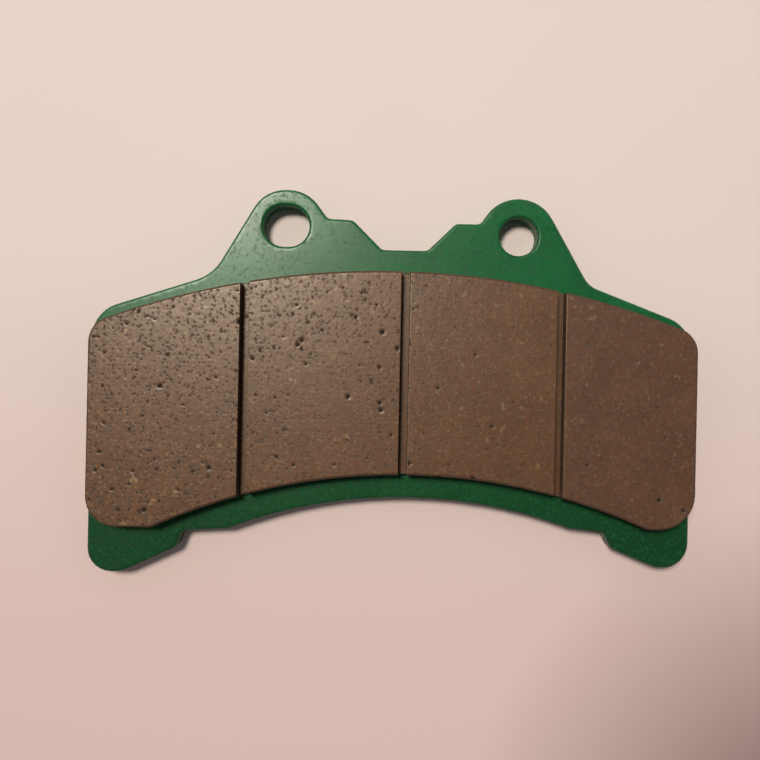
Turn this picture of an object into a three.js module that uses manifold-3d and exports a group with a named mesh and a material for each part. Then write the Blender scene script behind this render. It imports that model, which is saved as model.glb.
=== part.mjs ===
// Disc brake pad of a many-piston motorcycle caliper.
// Millimetres. X runs along the pad, +Y towards the two pin ears, +Z out of the friction face.
// The back of the steel plate, where the pistons press, lies in Z = 0.
import * as THREE from 'three';
import { mergeVertices } from 'three/addons/utils/BufferGeometryUtils.js';
import Module from 'manifold-3d';

const wasm = await Module();
wasm.setup();

// ---- overall sizes
const halfLength = 60.15;
const halfHeight = 38.6;
const plateThickness = 4.5;
const filmThickness = 0.125;
const underlayerThickness = 1.5;
const frictionThickness = 2.625;
const plateEdge = 0.35; // broken edge of the blanked plate
const liningEdge = 0.4; // broken edge of the friction face
const chordError = 0.03; // how far a facet may leave its arc

// ---- pin holes in the ears
const slotHole = { x: -21.6, y: 31.35, radius: 4.15, straight: 1.0 };
const roundHole = { x: 25.0, y: 30.15, radius: 3.85 };

// ---- moulding keys: holes in the plate that the underlayer fills
const keyHoleRadius = 5;
const keyGap = 0.1;
const keyRecess = 0.4;
const keyPlaces = [[-45, -6], [-14, 2], [18, 2], [47, -6]];

// ---- lining
const liningLeft = -59.2;
const liningRight = 59.65;
const liningFootLeft = -28.85;
const liningFootRight = -27.3;
const outerArc = { x: 0.3, y: -137.8, radius: 160 };
const innerArc = { x: 3.75, y: -134.7, radius: 117.15 };
const innerArcEnds = [-46.3, 50.5];
const grooveWidth = 1.7;
const grooveCentres = [-28.85, 2.5, 32.9];

// ---- lower edge of the plate
const archArc = { x: 4, y: -120, radius: 97.4 };
const archEnds = [-32.1, 36.4];

const yOnArc = (arc, x) => arc.y + Math.sqrt(arc.radius ** 2 - (x - arc.x) ** 2);

// Points along an arc from x0 to x1, as corners with no rounding of their own.
function arcCorners(arc, x0, x1) {
  const start = Math.acos((x0 - arc.x) / arc.radius);
  const end = Math.acos((x1 - arc.x) / arc.radius);
  const step = 2 * Math.acos(1 - chordError / arc.radius);
  const count = Math.ceil(Math.abs(end - start) / step);
  const corners = [];
  for (let i = 0; i <= count; i += 1) {
    const angle = start + ((end - start) * i) / count;
    corners.push([arc.x + arc.radius * Math.cos(angle), arc.y + arc.radius * Math.sin(angle), 0]);
  }
  return corners;
}

// A closed outline from corners [x, y, rounding radius], each radius laid in as an arc.
function roundedOutline(corners) {
  const points = [];
  corners.forEach(([x, y, radius], i) => {
    const corner = new THREE.Vector2(x, y);
    if (radius === 0) {
      points.push(corner);
      return;
    }
    const [px, py] = corners.at(i - 1);
    const [nx, ny] = corners[(i + 1) % corners.length];
    const back = new THREE.Vector2(px, py).sub(corner).normalize();
    const ahead = new THREE.Vector2(nx, ny).sub(corner).normalize();
    const halfOpening = Math.acos(back.dot(ahead)) / 2;
    const bisector = back.clone().add(ahead).normalize();
    const centre = corner.clone().addScaledVector(bisector, radius / Math.sin(halfOpening));
    const reach = radius / Math.tan(halfOpening);
    const start = corner.clone().addScaledVector(back, reach).sub(centre).angle();
    const end = corner.clone().addScaledVector(ahead, reach).sub(centre).angle();
    const sweep = THREE.MathUtils.euclideanModulo(end - start + Math.PI, 2 * Math.PI) - Math.PI;
    const count = Math.ceil(Math.abs(sweep) / (2 * Math.acos(1 - chordError / radius)));
    for (let k = 0; k <= count; k += 1) {
      const angle = start + (sweep * k) / count;
      points.push(new THREE.Vector2(Math.cos(angle), Math.sin(angle)).multiplyScalar(radius).add(centre));
    }
  });
  return points;
}

// A round or oblong hole, as two half circles a straight run apart.
function holePath({ x, y, radius, straight = 0 }) {
  const segments = Math.ceil(Math.PI / (2 * Math.acos(1 - chordError / radius)));
  const points = [];
  for (const side of [1, -1]) {
    const last = straight > 0 ? segments : segments - 1;
    for (let i = 0; i <= last; i += 1) {
      const angle = -side * Math.PI / 2 + (Math.PI * i) / segments;
      const cx = x + (side * straight) / 2;
      points.push(new THREE.Vector2(cx + radius * Math.cos(angle), y + radius * Math.sin(angle)));
    }
  }
  return new THREE.Path(points);
}

function slab(outline, holes, bottom, thickness, edge) {
  const shape = new THREE.Shape(outline);
  shape.holes = holes.map(holePath);
  const geometry = new THREE.ExtrudeGeometry(shape, {
    depth: thickness - 2 * edge,
    bevelEnabled: edge > 0,
    bevelThickness: edge,
    bevelSize: edge,
    bevelOffset: -edge,
    bevelSegments: 1,
  });
  return geometry.translate(0, 0, bottom + edge);
}

function toSolid(geometry) {
  const bare = geometry.clone();
  bare.deleteAttribute('normal');
  bare.deleteAttribute('uv');
  const merged = mergeVertices(bare);
  return new wasm.Manifold(new wasm.Mesh({
    numProp: 3,
    vertProperties: merged.attributes.position.array,
    triVerts: new Uint32Array(merged.index.array),
  }));
}

function toGeometry(solid) {
  const mesh = solid.getMesh();
  const geometry = new THREE.BufferGeometry();
  geometry.setAttribute('position', new THREE.BufferAttribute(mesh.vertProperties, 3));
  geometry.setIndex(new THREE.BufferAttribute(mesh.triVerts, 1));
  const flat = geometry.toNonIndexed();
  flat.computeVertexNormals();
  return flat;
}

const paint = new THREE.MeshStandardMaterial({ color: 0x1f5a3c, roughness: 0.42, metalness: 0.15 });
const adhesive = new THREE.MeshStandardMaterial({ color: 0x2a2119, roughness: 0.7, metalness: 0 });
const underMix = new THREE.MeshStandardMaterial({ color: 0x5a4635, roughness: 0.95, metalness: 0 });
const frictionMix = new THREE.MeshStandardMaterial({ color: 0x6e5640, roughness: 0.9, metalness: 0 });

const group = new THREE.Group();
group.name = 'brake_pad';

function addPart(name, geometry, material) {
  const mesh = new THREE.Mesh(geometry, material);
  mesh.name = name;
  group.add(mesh);
}

// ---- steel backing plate: two unequal ears, a notch between them, two feet and an arch
const plateOutline = roundedOutline([
  [-halfLength, -halfHeight, 4.7],
  [-53.2, -halfHeight, 6],
  [-42.5, -33.5, 1.8],
  [-41.3, -30.1, 1.4],
  ...arcCorners(archArc, ...archEnds),
  [43.2, -28.8, 1.4],
  [44.7, -31.9, 1.8],
  [53.8, -35.6, 5],
  [halfLength, -35.6, 5],
  [halfLength, 12.7, 7],
  [39.25, 20.6, 5],
  [25.45, 44.7, 7.75],
  [17.3, 32.5, 1.4],
  [12.4, 32.5, 1.4],
  [6.8, 26.95, 1.3],
  [-2.3, 26.95, 1.3],
  [-8.25, 32.8, 1.6],
  [-13.35, 33, 1.3],
  [-17.5, halfHeight, 7.2],
  [-26, halfHeight, 7.2],
  [-36.2, 21.3, 9],
  [-halfLength, 13.4, 7],
]);
const keyHoles = keyPlaces.map(([x, y]) => ({ x, y, radius: keyHoleRadius }));
addPart('backing_plate', slab(plateOutline, [slotHole, roundHole, ...keyHoles], 0, plateThickness, plateEdge), paint);

// ---- lining: bonding film, underlayer with its four keys, and the friction blocks on it
const liningOutline = roundedOutline([
  [liningLeft, liningFootLeft, 6],
  ...arcCorners(innerArc, ...innerArcEnds),
  [liningRight, liningFootRight, 7],
  [liningRight, yOnArc(outerArc, liningRight), 5],
  ...arcCorners(outerArc, 50, -50),
  [liningLeft, yOnArc(outerArc, liningLeft), 5],
]);
const filmBottom = plateThickness;
const underlayerBottom = filmBottom + filmThickness;
const frictionBottom = underlayerBottom + underlayerThickness;
addPart('bond_film', slab(liningOutline, keyHoles, filmBottom, filmThickness, 0), adhesive);

let underlayer = toSolid(slab(liningOutline, [], underlayerBottom, underlayerThickness, 0));
const keyLength = underlayerBottom - keyRecess + underlayerThickness / 2;
for (const [x, y] of keyPlaces) {
  const key = new THREE.CylinderGeometry(keyHoleRadius - keyGap, keyHoleRadius - keyGap, keyLength, 40);
  key.rotateX(Math.PI / 2).translate(x, y, keyRecess + keyLength / 2);
  underlayer = underlayer.add(toSolid(key));
}
addPart('lining_underlayer', toGeometry(underlayer), underMix);

const blankThickness = frictionThickness + 2 * liningEdge;
const frictionBlank = toSolid(
  slab(liningOutline, [], frictionBottom + frictionThickness - blankThickness, blankThickness, liningEdge),
);
const blockWalls = [-halfLength, ...grooveCentres, halfLength];
for (let i = 0; i < blockWalls.length - 1; i += 1) {
  const left = blockWalls[i] + (i === 0 ? 0 : grooveWidth / 2);
  const right = blockWalls[i + 1] - (i === blockWalls.length - 2 ? 0 : grooveWidth / 2);
  const cell = new THREE.BoxGeometry(right - left, 2 * halfHeight, 2 * frictionThickness);
  cell.translate((left + right) / 2, 0, frictionBottom + frictionThickness);
  const block = frictionBlank.intersect(toSolid(cell));
  addPart(`friction_block_${i + 1}`, toGeometry(block), frictionMix);
}

export default group;
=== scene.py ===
# %% [markdown]
# # A motorcycle brake pad
# The object is a steel plate, stamped and painted green, with a brown friction lining moulded on to it.
# The lining is cut into four blocks by three grooves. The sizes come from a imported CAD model, so this
# lesson only adds what CAD leaves out: rounded edges, pits and grains, paint, light and a camera.

# %% Load the frame
import math
import random

import bmesh
import bpy
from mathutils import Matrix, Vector, kdtree, noise


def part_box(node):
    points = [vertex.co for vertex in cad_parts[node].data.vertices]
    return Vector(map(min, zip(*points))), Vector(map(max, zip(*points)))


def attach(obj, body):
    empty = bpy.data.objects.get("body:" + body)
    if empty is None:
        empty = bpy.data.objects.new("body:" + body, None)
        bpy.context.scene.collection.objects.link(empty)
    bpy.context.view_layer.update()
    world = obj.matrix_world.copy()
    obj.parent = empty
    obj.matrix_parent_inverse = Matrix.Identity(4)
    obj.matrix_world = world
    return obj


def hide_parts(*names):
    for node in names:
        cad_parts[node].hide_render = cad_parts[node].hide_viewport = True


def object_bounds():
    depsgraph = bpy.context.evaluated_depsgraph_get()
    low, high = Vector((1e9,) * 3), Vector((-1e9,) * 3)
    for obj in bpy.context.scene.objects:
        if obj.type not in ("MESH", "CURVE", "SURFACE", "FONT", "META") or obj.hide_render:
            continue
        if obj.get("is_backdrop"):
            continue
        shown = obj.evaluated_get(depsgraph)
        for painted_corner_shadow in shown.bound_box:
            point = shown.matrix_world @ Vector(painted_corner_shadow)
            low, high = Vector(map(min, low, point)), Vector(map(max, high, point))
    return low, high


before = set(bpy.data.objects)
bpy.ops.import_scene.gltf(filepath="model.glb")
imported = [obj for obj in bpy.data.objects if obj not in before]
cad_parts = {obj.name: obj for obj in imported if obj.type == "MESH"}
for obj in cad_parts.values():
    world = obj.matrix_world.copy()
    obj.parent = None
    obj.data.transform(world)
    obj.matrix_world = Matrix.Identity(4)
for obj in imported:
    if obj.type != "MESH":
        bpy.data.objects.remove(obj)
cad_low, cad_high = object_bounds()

MM = 0.001
X, Y, Z = 0, 1, 2
print("CAD box in mm:", [round((b - a) / MM, 2) for a, b in zip(cad_low, cad_high)])
print("CAD nodes:", sorted(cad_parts))

# %% [markdown]
# ## From CAD triangles to a mesh that can be worked
# A CAD node arrives as loose triangles. A copy is joined at its corners and its flat faces are dissolved
# into whole ones. Then a bevel or a cut follows the real edges, not the triangulation.

# %% Join the triangles of a CAD node
JOIN = 0.001 * MM
FLAT = math.radians(0.6)


def solid_from_cad(node):
    bm = bmesh.new()
    bm.from_mesh(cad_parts[node].data)
    bmesh.ops.remove_doubles(bm, verts=bm.verts[:], dist=JOIN)
    bmesh.ops.dissolve_limit(bm, angle_limit=FLAT, verts=bm.verts[:], edges=bm.edges[:])
    return bm


# %% Make a finished piece out of a worked mesh
CREASE = math.radians(32)


def finish_piece(bm, name, node, material, crease=CREASE):
    bmesh.ops.recalc_face_normals(bm, faces=bm.faces[:])
    for face in bm.faces:
        face.smooth = True
    for edge in bm.edges:
        edge.smooth = len(edge.link_faces) == 2 and edge.calc_face_angle(0.0) < crease
    mesh = bpy.data.meshes.new(name)
    bm.to_mesh(mesh)
    bm.free()
    mesh.materials.append(material)
    piece = bpy.data.objects.new(name, mesh)
    bpy.context.scene.collection.objects.link(piece)
    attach(piece, "root")
    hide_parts(node)
    print(name, "faces:", len(mesh.polygons))
    return piece


# %% Move points, once every move is known
# All moves are worked out on the untouched mesh first, so no point is pushed along a normal that has
# changed.
def move_points(moves):
    for vert, move in moves:
        vert.co += move


# %% [markdown]
# ## A small kit for materials
# Each finish is a network of nodes on the Principled shader. The helpers below only save typing. They
# make a node, noise at a size in millimetres, a ramp, scattered dots, a mix of two colours or a bump.

# %% Nodes and their links
def new_material(name):
    material = bpy.data.materials.new(name)
    material.use_nodes = True
    tree = material.node_tree
    tree.nodes.clear()
    out = tree.nodes.new("ShaderNodeOutputMaterial")
    shader = tree.nodes.new("ShaderNodeBsdfPrincipled")
    tree.links.new(shader.outputs["BSDF"], out.inputs["Surface"])
    return material, tree, shader


def add_node(tree, kind, **settings):
    made = tree.nodes.new("ShaderNode" + kind)
    for name, value in settings.items():
        setattr(made, name, value)
    return made


def feed(tree, value, socket):
    if isinstance(value, bpy.types.NodeSocket):
        tree.links.new(value, socket)
    else:
        socket.default_value = value


def maths(tree, operation, *values):
    made = add_node(tree, "Math", operation=operation)
    for value, socket in zip(values, made.inputs):
        feed(tree, value, socket)
    return made.outputs[0]


def attribute(tree, name):
    return add_node(tree, "Attribute", attribute_name=name).outputs["Fac"]


# %% Places on the object, in millimetres
def place(tree, stretch=(1, 1, 1)):
    scaled = add_node(tree, "Mapping")
    tree.links.new(add_node(tree, "TexCoord").outputs["Object"], scaled.inputs["Vector"])
    scaled.inputs["Scale"].default_value = [s / MM for s in stretch]
    return scaled.outputs["Vector"]


def share_of_span(tree, axis, span_mm):
    # 0 at one end of a span centred on the origin and 1 at the other. A negative span runs the other way.
    split = add_node(tree, "SeparateXYZ")
    tree.links.new(place(tree), split.inputs[0])
    return maths(tree, "MULTIPLY_ADD", split.outputs[axis], 1 / span_mm, 0.5)


# %% Noise, ramps and dots
WAVER_FINENESS = 1.7
CHOICE_EDGE = 0.05


def grain(tree, size_mm, detail=3.0, stretch=(1, 1, 1), roughness=0.55):
    made = add_node(tree, "TexNoise")
    tree.links.new(place(tree, stretch), made.inputs["Vector"])
    made.inputs["Scale"].default_value = 1 / size_mm
    made.inputs["Detail"].default_value = detail
    made.inputs["Roughness"].default_value = roughness
    return made.outputs["Fac"]


def ramp(tree, value, *stops):
    made = add_node(tree, "ValToRGB")
    tree.links.new(value, made.inputs["Fac"])
    elements = made.color_ramp.elements
    while len(elements) < len(stops):
        elements.new(0.5)
    for element, (at, level) in zip(elements, stops):
        element.position = at
        element.color = (level, level, level, 1)
    return made.outputs["Color"]


def wobbly_place(tree, size_mm, wobble):
    waver = add_node(tree, "TexNoise")
    tree.links.new(place(tree), waver.inputs["Vector"])
    waver.inputs["Scale"].default_value = WAVER_FINENESS / size_mm
    shift = add_node(tree, "VectorMath", operation="MULTIPLY_ADD")
    tree.links.new(waver.outputs["Color"], shift.inputs[0])
    shift.inputs[1].default_value = [wobble * size_mm] * 3
    tree.links.new(place(tree), shift.inputs[2])
    return shift.outputs["Vector"]


def dots(tree, size_mm, rarity, radius, soft=0.6, wobble=0.9):
    cells = add_node(tree, "TexVoronoi")
    tree.links.new(wobbly_place(tree, size_mm, wobble), cells.inputs["Vector"])
    cells.inputs["Scale"].default_value = 1 / size_mm
    chosen = ramp(tree, cells.outputs["Color"], (rarity, 0.0), (rarity + CHOICE_EDGE, 1.0))
    inside = ramp(tree, cells.outputs["Distance"], (radius * soft, 1.0), (radius, 0.0))
    return maths(tree, "MULTIPLY", chosen, inside)


# %% Colours and bumps
# A Mix node has sockets for several kinds of data. These are the ones that carry colour.
MIX_FACTOR, MIX_A, MIX_B, MIX_RESULT = 0, 6, 7, 2


def mix(tree, factor, a, b, blend="MIX"):
    made = add_node(tree, "Mix", data_type="RGBA", blend_type=blend)
    feed(tree, factor, made.inputs[MIX_FACTOR])
    for value, socket in ((a, made.inputs[MIX_A]), (b, made.inputs[MIX_B])):
        feed(tree, value if isinstance(value, bpy.types.NodeSocket) else (*value, 1), socket)
    return made.outputs[MIX_RESULT]


def cover(tree, tone, *layers):
    # Each layer is where it lies, how strongly it covers, and its colour.
    for where, strength, colour in layers:
        tone = mix(tree, maths(tree, "MULTIPLY", where, strength), tone, colour)
    return tone


def bump(tree, height, strength, depth_mm, below=None):
    made = add_node(tree, "Bump")
    tree.links.new(height, made.inputs["Height"])
    made.inputs["Strength"].default_value = strength
    made.inputs["Distance"].default_value = depth_mm * MM
    if below is not None:
        tree.links.new(below, made.inputs["Normal"])
    return made.outputs["Normal"]


def srgb(*levels):
    # The standard curve from display levels of 0 to 255 to the linear light that a shader works in.
    return [(v / 255 / 12.92) if v <= 10 else ((v / 255 + 0.055) / 1.055) ** 2.4 for v in levels]


def grey(level):
    return (level, level, level)


# %% [markdown]
# ## The green paint
# The plate is sprayed after stamping. The coat is thin and half glossy, with a faint orange peel. It is a
# little uneven in tone, and duller in its fine hollows. Painted shade makes it darker towards the near
# edge, and the fine orange peel gets a painted highlight on its crests and painted shade in its hollows.
# The coat is thin on the stamped edge, and painted shade darkens it there as well. Two attributes say
# where that is: rim marks the rolled arris and cut_edge the wall below it.

# %% Green paint
PAINT_DEEP = srgb(20, 92, 49)
PAINT_BRIGHT = srgb(26, 104, 60)
PAINT_NEAR_SHADE = srgb(20, 62, 35)
PAINT_CREST_HIGHLIGHT = srgb(52, 128, 88)
PAINT_HOLLOW_SHADE = srgb(14, 58, 34)
PAINT_SPECK = srgb(10, 36, 22)
PAINT_RIM_THIN_COAT_AND_SHADE = srgb(12, 44, 26)
PAINT_CUT_THIN_COAT_AND_SHADE = srgb(14, 60, 34)
PLATE_SPAN_MM = 80
DULL_HOLLOW = grey(0.6)
DULL_CUT = grey(0.5)
PAINT_SHINE = 0.36

paint, tree, shader = new_material("green_paint")
rim = attribute(tree, "rim")
cut = attribute(tree, "cut_edge")
fine = grain(tree, 0.6, detail=3)
cloudy = ramp(tree, grain(tree, 14, detail=4), (0.35, 0.0), (0.65, 1.0))
near_painted_shade = ramp(tree, share_of_span(tree, "Y", PLATE_SPAN_MM), (0.12, 1.0), (0.62, 0.0))
peel_crest_highlight = ramp(tree, fine, (0.50, 0.0), (0.72, 0.32))
peel_hollow_shade = ramp(tree, fine, (0.28, 0.5), (0.44, 0.0))
deep_hollows = ramp(tree, fine, (0.32, 0.5), (0.46, 0.0))
specks = dots(tree, 1.2, 0.66, 0.27)
streaks = grain(tree, 0.5, detail=3, stretch=(1, 1, 0.12))

tone = mix(tree, cloudy, PAINT_DEEP, PAINT_BRIGHT)
# Painted shade: the paint turns darker towards the near edge.
tone = cover(tree, tone, (near_painted_shade, 0.85, PAINT_NEAR_SHADE))
# Painted highlight on the crests of the fine orange peel, and painted shade in its hollows.
tone = mix(tree, peel_crest_highlight, tone, PAINT_CREST_HIGHLIGHT)
tone = mix(tree, peel_hollow_shade, tone, PAINT_HOLLOW_SHADE)
# Dark specks in the coat. The arris and the punched wall are darker where the coat is thin, and darker still
# as painted shade.
tone = cover(tree, tone, (specks, 0.6, PAINT_SPECK), (rim, 0.12, PAINT_RIM_THIN_COAT_AND_SHADE), (cut, 0.35, PAINT_CUT_THIN_COAT_AND_SHADE))
tree.links.new(tone, shader.inputs["Base Color"])

gloss = ramp(tree, grain(tree, 6, detail=5), (0.3, 0.265), (0.7, 0.30))
gloss = mix(tree, deep_hollows, gloss, DULL_HOLLOW)
gloss = cover(tree, gloss, (cut, 0.6, DULL_CUT))
tree.links.new(gloss, shader.inputs["Roughness"])
shader.inputs["Specular IOR Level"].default_value = PAINT_SHINE

peel = bump(tree, grain(tree, 1.3, detail=1), strength=0.2, depth_mm=0.02)
peel = bump(tree, fine, strength=0.22, depth_mm=0.012, below=peel)
peel = bump(tree, maths(tree, "MULTIPLY", streaks, cut), strength=0.5, depth_mm=0.08, below=peel)
tree.links.new(peel, shader.inputs["Normal"])

# %% [markdown]
# ## The friction compound
# The lining is resin, fibre, mineral powder and metal chips, pressed hot and then ground flat. The ground
# face shows pale and dark grains, small pits where grains fell out, bright chips and faint grinding
# lines. The grains are densest at the left end, and the last block is a slightly cooler mix. The pits are
# real hollows in the mesh, and an attribute called pit tells the material how deep each point lies; the
# material paints shade into the pits by it. Another, called side, marks the moulded walls, which were
# never ground and stay duller; they are painted darker, partly as their own unground tone and partly as
# painted shade.

# %% Friction compound
LINING_SPAN_MM = 120
MEAL_SHADE = 0.45
MEAL_CREST = srgb(128, 94, 65)
GRINDING_LINE = srgb(108, 76, 51)
PALE_GRAIN = srgb(150, 117, 84)
PALE_LUMP = srgb(160, 132, 98)
DARK_GRAIN = srgb(36, 24, 15)
DARK_BLOT = srgb(38, 25, 16)
DARK_LUMP = srgb(34, 22, 14)
WALL_TONE_AND_SHADE = srgb(50, 33, 23)
PIT_PAINTED_SHADE = srgb(24, 16, 10)
COOLER = (0.94, 1.0, 1.22)
COMPOUND_SHINE = 0.72
WARM_SHINE = (1.0, 0.95, 0.86, 1)
LINE_GLOSS = grey(0.30)
GRAIN_GLOSS = grey(0.72)
LUMP_GLOSS = grey(0.95)
WALL_GLOSS = grey(0.8)
PIT_GLOSS = grey(0.95)


def compound(name, light, dark, specked):
    material, tree, shader = new_material(name)
    pit = attribute(tree, "pit")
    side = attribute(tree, "side")
    along = share_of_span(tree, "X", LINING_SPAN_MM)
    meal = grain(tree, 0.5, detail=3, roughness=0.65)
    blotch = ramp(tree, grain(tree, 7, detail=4), (0.36, 0.0), (0.64, 1.0))
    lines = ramp(tree, grain(tree, 1.0, detail=2, stretch=(1.6, 0.07, 1)), (0.35, 0.0), (0.7, 1.0))
    lines = mix(tree, side, lines, grey(0))

    density = maths(tree, "MULTIPLY", ramp(tree, along, (0.05, 1.0), (0.85, 0.5)), specked)

    def scattered(*shape, **edge):
        return maths(tree, "MULTIPLY", density, dots(tree, *shape, **edge))

    dark_grain = scattered(0.80, 0.36, 0.55, soft=0.25)
    dark_blot = scattered(1.15, 0.50, 0.42, soft=0.3, wobble=1.3)
    dark_lump = scattered(1.6, 0.58, 0.33, soft=0.4, wobble=1.2)
    pale_grain = scattered(0.75, 0.42, 0.50, soft=0.2)
    pale_lump = scattered(2.2, 0.66, 0.27, soft=0.4, wobble=1.3)

    tone = mix(tree, blotch, dark, light)
    tone = mix(tree, ramp(tree, meal, (0.34, 0.5), (0.48, 0.0)), tone, [c * MEAL_SHADE for c in dark])
    tone = mix(tree, ramp(tree, meal, (0.54, 0.0), (0.72, 0.4)), tone, MEAL_CREST)
    tone = cover(
        tree, tone,
        (lines, 0.25, GRINDING_LINE),
        (pale_grain, 0.6, PALE_GRAIN),
        (pale_lump, 0.75, PALE_LUMP),
        (dark_grain, 0.80, DARK_GRAIN),
        (dark_blot, 0.62, DARK_BLOT),
        (dark_lump, 0.85, DARK_LUMP),
    )
    last_block = ramp(tree, along, (0.77, 0.0), (0.79, 1.0))
    tone = mix(tree, last_block, tone, COOLER, blend="MULTIPLY")
    # The moulded walls are darker: partly their own unground tone, partly painted shade.
    tone = cover(tree, tone, (side, 0.5, WALL_TONE_AND_SHADE))
    # Painted shade: points deep in a pit are darkened towards near black.
    tone = mix(tree, pit, tone, PIT_PAINTED_SHADE)
    tree.links.new(tone, shader.inputs["Base Color"])

    gloss = ramp(tree, meal, (0.38, 0.52), (0.52, 0.34))
    gloss = cover(tree, gloss, (lines, 0.5, LINE_GLOSS))
    gloss = mix(tree, dark_grain, gloss, GRAIN_GLOSS)
    gloss = mix(tree, dark_lump, gloss, LUMP_GLOSS)
    gloss = mix(tree, side, gloss, WALL_GLOSS)
    gloss = mix(tree, pit, gloss, PIT_GLOSS)
    tree.links.new(gloss, shader.inputs["Roughness"])
    shader.inputs["Specular IOR Level"].default_value = COMPOUND_SHINE
    shader.inputs["Specular Tint"].default_value = WARM_SHINE

    sunken = maths(tree, "SUBTRACT", 1.0, maths(tree, "MAXIMUM", dark_grain, dark_lump))
    rough = bump(tree, meal, strength=0.2, depth_mm=0.03)
    rough = bump(tree, sunken, strength=0.35, depth_mm=0.05, below=rough)
    rough = bump(tree, lines, strength=0.15, depth_mm=0.012, below=rough)
    tree.links.new(rough, shader.inputs["Normal"])
    return material


friction = compound("friction_compound", srgb(106, 70, 47), srgb(95, 62, 41), specked=1.0)
under_compound = compound("underlayer_compound", srgb(98, 64, 42), srgb(88, 57, 38), specked=0.6)

# %% [markdown]
# ## The bonding film
# A dark resin line runs round the foot of the lining, where the glue was squeezed out and cured.

# %% Cured adhesive
RESIN_DARK = srgb(30, 24, 18)
RESIN_LIGHT = srgb(58, 46, 34)
RESIN_ROUGHNESS = 0.5

adhesive, tree, shader = new_material("cured_adhesive")
tree.links.new(mix(tree, grain(tree, 1.5), RESIN_DARK, RESIN_LIGHT), shader.inputs["Base Color"])
shader.inputs["Roughness"].default_value = RESIN_ROUGHNESS
tree.links.new(bump(tree, grain(tree, 0.5), strength=0.4, depth_mm=0.05), shader.inputs["Normal"])

# %% [markdown]
# ## The backing plate
# The plate is punched out of thick strip. The punch rolls the edge over, so the arris is round, not
# sharp. The CAD copy already has a narrow flat chamfer there; bevelling both sides of it turns it into a
# smooth roll.

# %% Cut a mesh into a grid
CUT_SNAP = 0.01 * MM


def cut_grid(bm, axis, start, stop, step):
    normal = [0, 0, 0]
    normal[axis] = 1
    for i in range(1, int((stop - start) / step) + 1):
        where = [0, 0, 0]
        where[axis] = start + i * step
        everything = bm.verts[:] + bm.edges[:] + bm.faces[:]
        bmesh.ops.bisect_plane(bm, geom=everything, plane_co=where, plane_no=normal, dist=CUT_SNAP)


# %% Roll the rim of the plate
ROLL = 0.14 * MM
CHAMFER_SLOPE = (0.3, 0.95)


def sloped(face):
    return CHAMFER_SLOPE[0] <= abs(face.normal.z) < CHAMFER_SLOPE[1]


plate = solid_from_cad("backing_plate")
rim_edges = [e for e in plate.edges if sum(sloped(f) for f in e.link_faces) == 1]
bmesh.ops.bevel(plate, geom=rim_edges, offset=ROLL, segments=3, profile=0.5, affect="EDGES", material=-1)
print("rim edges rolled:", len(rim_edges))

# %% Tear the lower part of the punched edge
# The punch shears the upper third of the edge clean, and the rest breaks away a little rough and set back.
PLATE_GRID = 0.8 * MM
PLATE_LAYER = 0.3 * MM
SHEARED = 0.36
TORN = 0.07 * MM
BREAK_SIZE = 2.5 * MM
BREAK_WANDER = 0.35 * MM
BREAK_SOFTNESS = 0.3 * MM
STREAK_SIZE = 0.7 * MM
STREAK_UPRIGHT = 0.2
WALL_TILT = 0.1
CUT_TILT = 0.5
FACE_TILT = 0.98

low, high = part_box("backing_plate")
plate_top = high.z
cut_grid(plate, X, low.x, high.x, PLATE_GRID)
cut_grid(plate, Y, low.y, high.y, PLATE_GRID)
cut_grid(plate, Z, low.z, high.z, PLATE_LAYER)
plate.normal_update()
rim_layer = plate.verts.layers.float.new("rim")
cut_layer = plate.verts.layers.float.new("cut_edge")
break_line = high.z - (high.z - low.z) * SHEARED
tears = []
for vert in plate.verts:
    tilt = abs(vert.normal.z)
    vert[rim_layer] = 1.0 if WALL_TILT < tilt < FACE_TILT else 0.0
    vert[cut_layer] = 1.0 if tilt < CUT_TILT else 0.0
    if tilt < WALL_TILT:
        wander = noise.noise(vert.co / BREAK_SIZE) * BREAK_WANDER
        below = min(1.0, max(0.0, (break_line + wander - vert.co.z) / BREAK_SOFTNESS))
        streak = noise.noise(Vector((vert.co.x, vert.co.y, vert.co.z * STREAK_UPRIGHT)) / STREAK_SIZE)
        tears.append((vert, vert.normal * -(TORN * below * (0.6 + 0.4 * streak))))
move_points(tears)
finish_piece(plate, "painted_plate", "backing_plate", paint)

# %% [markdown]
# ## The friction blocks
# A smooth block would look like plastic, so the blocks get real relief. The copy of each CAD block is cut
# by three families of planes, which leaves a fine grid on it. Then each point moves inwards by a little
# noise, and further in where it lies inside a pit. The pits are thrown with seeded dice, so every run
# gives the same lining.

# %% Pits and grain as a function of place
PITS_PER_BLOCK = (46, 34, 10, 6)
PIT_RADIUS = (0.22 * MM, 0.55 * MM)
SMALL_PITS = 2.5
PIT_REACH = 1.5
PIT_DEPTH = 0.5
PIT_DARKENING = 2.6
RAGGED_SIZE = 0.35 * MM
RAGGEDNESS = 0.35
FINE_RELIEF = 0.5 * MM
BROAD_RELIEF = 1.6 * MM
SIDE_TILT = 0.9

dice = random.Random(11)


def scatter_pits(low, high, count):
    pits = []
    for _ in range(count):
        radius = PIT_RADIUS[0] + (PIT_RADIUS[1] - PIT_RADIUS[0]) * dice.random() ** SMALL_PITS
        centre = Vector((dice.uniform(low.x, high.x), dice.uniform(low.y, high.y), high.z))
        pits.append((centre, radius))
    return pits


def sink_into_pits(bm, pits):
    # For each point in a pit: how far down it lies, from 0 at the brim to 1, and the radius of that pit.
    tree = kdtree.KDTree(len(bm.verts))
    for vert in bm.verts:
        tree.insert(vert.co, vert.index)
    tree.balance()
    sunk = {}
    for centre, radius in pits:
        for point, index, distance in tree.find_range(centre, radius * PIT_REACH):
            ragged = 1 + RAGGEDNESS * noise.noise(point / RAGGED_SIZE)
            depth = max(0.0, 1 - (distance * ragged / radius) ** 2)
            if depth > sunk.get(index, (0, 0))[0]:
                sunk[index] = (depth, radius)
    return sunk


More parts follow.
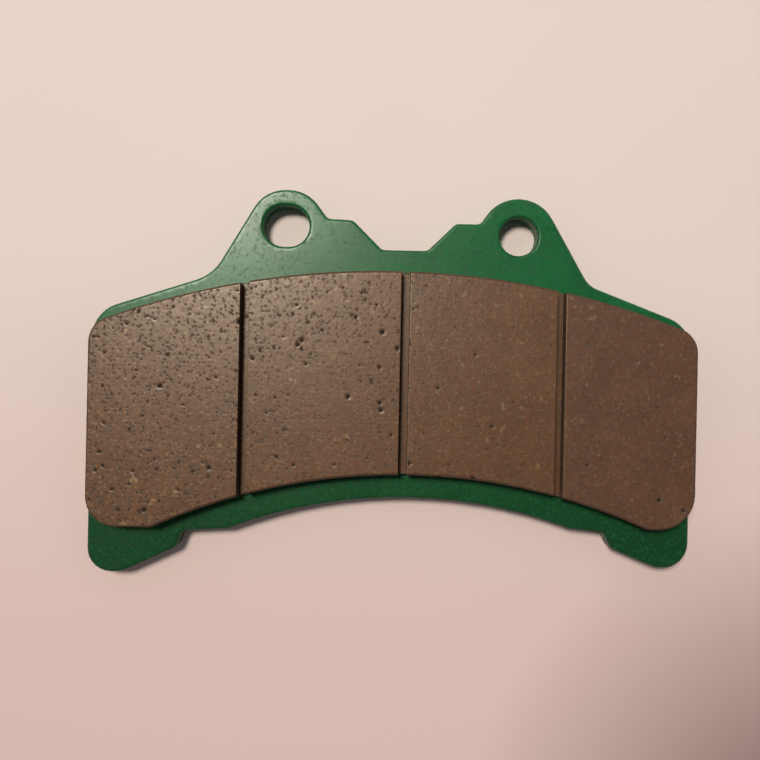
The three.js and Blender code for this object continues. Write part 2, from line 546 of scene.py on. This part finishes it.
def roughen(bm, above, relief, pits):
    pit_layer = bm.verts.layers.float.new("pit")
    side_layer = bm.verts.layers.float.new("side")
    bm.normal_update()
    bm.verts.ensure_lookup_table()
    sunk = sink_into_pits(bm, pits)
    moves = []
    for vert in bm.verts:
        vert[side_layer] = 1.0 if abs(vert.normal.z) < SIDE_TILT else 0.0
        if vert.co.z <= above:
            continue
        depth, radius = sunk.get(vert.index, (0.0, 0.0))
        small = noise.noise(vert.co / FINE_RELIEF) * 0.6 + noise.noise(vert.co / BROAD_RELIEF) * 0.4
        vert[pit_layer] = min(1.0, depth * PIT_DARKENING)
        moves.append((vert, vert.normal * -(relief * (0.5 + 0.5 * small) + depth * radius * PIT_DEPTH)))
    move_points(moves)


# %% Make the four blocks
# Edges within FOOT of the block's base stay sharp, and points within STILL of it don't move.
GRID = 0.28 * MM
BLOCK_LAYER = 0.65 * MM
ARRIS = 0.06 * MM
SHARP = math.radians(30)
BLOCK_CREASE = math.radians(60)
BLOCK_RELIEF = 0.03 * MM
FOOT = 0.1 * MM
STILL = 0.02 * MM

for number in range(1, 5):
    name = f"friction_block_{number}"
    low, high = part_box(name)
    block = solid_from_cad(name)
    sharp_edges = [e for e in block.edges if e.calc_face_angle(0.0) > SHARP]
    top_edges = [e for e in sharp_edges if min(v.co.z for v in e.verts) > low.z + FOOT]
    bmesh.ops.bevel(block, geom=top_edges, offset=ARRIS, segments=2, profile=0.5, affect="EDGES", material=-1)
    cut_grid(block, X, low.x, high.x, GRID)
    cut_grid(block, Y, low.y, high.y, GRID)
    cut_grid(block, Z, low.z, high.z, BLOCK_LAYER)
    pits = scatter_pits(low, high, PITS_PER_BLOCK[number - 1])
    roughen(block, low.z + STILL, BLOCK_RELIEF, pits)
    finish_piece(block, f"friction_{number}", name, friction, crease=BLOCK_CREASE)

# %% [markdown]
# ## The underlayer and the bonding film
# The underlayer shows as the floor of the grooves, as a band round the foot of the lining and as four
# plugs in the back of the plate. It gets a coarser grid and a gentler grain than the blocks. The rim of
# the bonding film is pushed out by an uneven amount, like glue squeezed out under the press.

# %% Underlayer
UNDER_GRID = 0.6 * MM
UNDER_RELIEF = 0.02 * MM

low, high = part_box("lining_underlayer")
under = solid_from_cad("lining_underlayer")
cut_grid(under, X, low.x, high.x, UNDER_GRID)
cut_grid(under, Y, low.y, high.y, UNDER_GRID)
roughen(under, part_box("bond_film")[1].z + STILL, UNDER_RELIEF, [])
finish_piece(under, "underlayer", "lining_underlayer", under_compound)

# %% Bonding film, squeezed out at its edge
SQUEEZE = 0.28 * MM
BEAD_SIZE = 2.2 * MM
BEAD_LEAST = 0.15
BEAD_MEAN = 0.5
BEAD_SWING = 0.8
UPPER_SHARE = 0.35
UPPER_FROM = 0.05 * MM
OUTWARD = 0.3

low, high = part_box("bond_film")
film = solid_from_cad("bond_film")
cut_grid(film, X, low.x, high.x, UNDER_GRID)
cut_grid(film, Y, low.y, high.y, UNDER_GRID)
film.normal_update()
beads = []
for vert in film.verts:
    outward = Vector((vert.normal.x, vert.normal.y, 0))
    if outward.length > OUTWARD:
        share = UPPER_SHARE if vert.co.z > low.z + UPPER_FROM else 1.0
        amount = max(BEAD_LEAST, BEAD_MEAN + BEAD_SWING * noise.noise(vert.co / BEAD_SIZE))
        beads.append((vert, outward.normalized() * SQUEEZE * share * amount))
move_points(beads)
finish_piece(film, "adhesive_line", "bond_film", adhesive)

# %% [markdown]
# ## Floor, light and camera
# The pad lies on pale paper. Painted shade makes it a little darker and pinker near the eye, and a painted
# shadow darkens one corner. One soft lamp stands above it on the far left, and the room fills the shadows.
# The camera looks straight down from close by, so the lining, which is nearer, looks slightly larger than
# the plate.

# %% Floor
FLOOR_HALF_SIZE = 1.5
FLOOR_GAP = 0.02 * MM
PAPER_LIGHT = srgb(240, 226, 226)
PAPER_CLOUD = srgb(238, 223, 222)
PAPER_PINK_SHADE = srgb(234, 208, 208)
PAPER_SHADE = srgb(128, 104, 106)
PINK_SHADE_SPAN_MM = -100
SHADED_CORNER_MM = (95, -100, 0)
SHADE_REACH_MM = 100
PAPER_ROUGHNESS = 0.8
PAPER_SHINE = 0.2

floor_mesh = bpy.data.meshes.new("floor")
floor_bm = bmesh.new()
bmesh.ops.create_grid(floor_bm, x_segments=1, y_segments=1, size=FLOOR_HALF_SIZE)
bmesh.ops.translate(floor_bm, verts=floor_bm.verts[:], vec=(0, 0, cad_low.z - FLOOR_GAP))
floor_bm.to_mesh(floor_mesh)
floor_bm.free()
floor = bpy.data.objects.new("floor", floor_mesh)
bpy.context.scene.collection.objects.link(floor)

paper, tree, shader = new_material("pale_paper")
pink_painted_shade = ramp(tree, share_of_span(tree, "Y", PINK_SHADE_SPAN_MM), (0.25, 0.0), (1.0, 1.0))
away = add_node(tree, "VectorMath", operation="DISTANCE")
tree.links.new(place(tree), away.inputs[0])
away.inputs[1].default_value = SHADED_CORNER_MM
distance = maths(tree, "MULTIPLY", away.outputs["Value"], 1 / SHADE_REACH_MM)
painted_corner_shadow = ramp(tree, distance, (0.10, 1.0), (0.80, 0.0))
tone = mix(tree, grain(tree, 30, detail=3), PAPER_LIGHT, PAPER_CLOUD)
# Painted shade: the paper turns darker and pinker towards the near edge.
tone = mix(tree, pink_painted_shade, tone, PAPER_PINK_SHADE)
# Painted shadow: a soft dark patch in one corner of the paper.
tone = mix(tree, painted_corner_shadow, tone, PAPER_SHADE)
tree.links.new(tone, shader.inputs["Base Color"])
shader.inputs["Roughness"].default_value = PAPER_ROUGHNESS
shader.inputs["Specular IOR Level"].default_value = PAPER_SHINE
floor_mesh.materials.append(paper)
floor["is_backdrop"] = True

# %% Soft lamp
LAMP_PLACE = (-0.405, 0.535, 1.500)
LAMP_AIM = Vector((0.010, 0.100, 0))
LAMP_WIDTH = 0.44
LAMP_WATTS = 1.68
LAMP_SPREAD = math.radians(50)
LAMP_COLOUR = (1.0, 0.93, 0.79)

lamp_data = bpy.data.lights.new("soft_lamp", "AREA")
lamp_data.shape = "DISK"
lamp_data.size = LAMP_WIDTH
lamp_data.energy = LAMP_WATTS
lamp_data.spread = LAMP_SPREAD
lamp_data.color = LAMP_COLOUR
lamp = bpy.data.objects.new("soft_lamp", lamp_data)
lamp.location = LAMP_PLACE
lamp.rotation_euler = (LAMP_AIM - lamp.location).to_track_quat("-Z", "Y").to_euler()
bpy.context.scene.collection.objects.link(lamp)

# %% Room light
# The room is bright round the sides, brighter on the far side, and dim overhead, where whoever looks
# leans over.
ROOM_COLOUR = (1.0, 0.97, 0.95, 1)

world = bpy.data.worlds.new("room")
world.use_nodes = True
tree = world.node_tree
split = add_node(tree, "SeparateXYZ")
tree.links.new(add_node(tree, "TexCoord").outputs["Generated"], split.inputs[0])
by_height = ramp(tree, split.outputs["Z"], (0.0, 0.42), (0.55, 0.42), (0.80, 0.06), (1.0, 0.04))
towards_far = maths(tree, "MULTIPLY_ADD", split.outputs["Y"], 0.5, 0.5)
far_side = ramp(tree, towards_far, (0.1, 0.45), (0.8, 1.3))
backdrop = tree.nodes["Background"]
backdrop.inputs["Color"].default_value = ROOM_COLOUR
tree.links.new(maths(tree, "MULTIPLY", by_height, far_side), backdrop.inputs["Strength"])
bpy.context.scene.world = world
bpy.context.scene.view_settings.view_transform = "Standard"

# %% Camera
EYE_PLACE = Vector((-2.19, 0.875, 150)) * MM
EYE_TURN = math.radians(1.2)
EYE_NEAREST = 10 * MM
VIEW_WIDTH = 152 * MM
SENSOR_MM = 36

camera_data = bpy.data.cameras.new("eye")
camera_data.sensor_width = SENSOR_MM
camera_data.lens = SENSOR_MM * (EYE_PLACE.z - plate_top) / VIEW_WIDTH
camera_data.clip_start = EYE_NEAREST
camera = bpy.data.objects.new("eye", camera_data)
camera.location = EYE_PLACE
camera.rotation_euler = (0, 0, EYE_TURN)
bpy.context.scene.collection.objects.link(camera)
bpy.context.scene.camera = camera
print("lens in mm:", round(camera_data.lens, 1))

# %% Measure the box of the finished object
low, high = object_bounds()
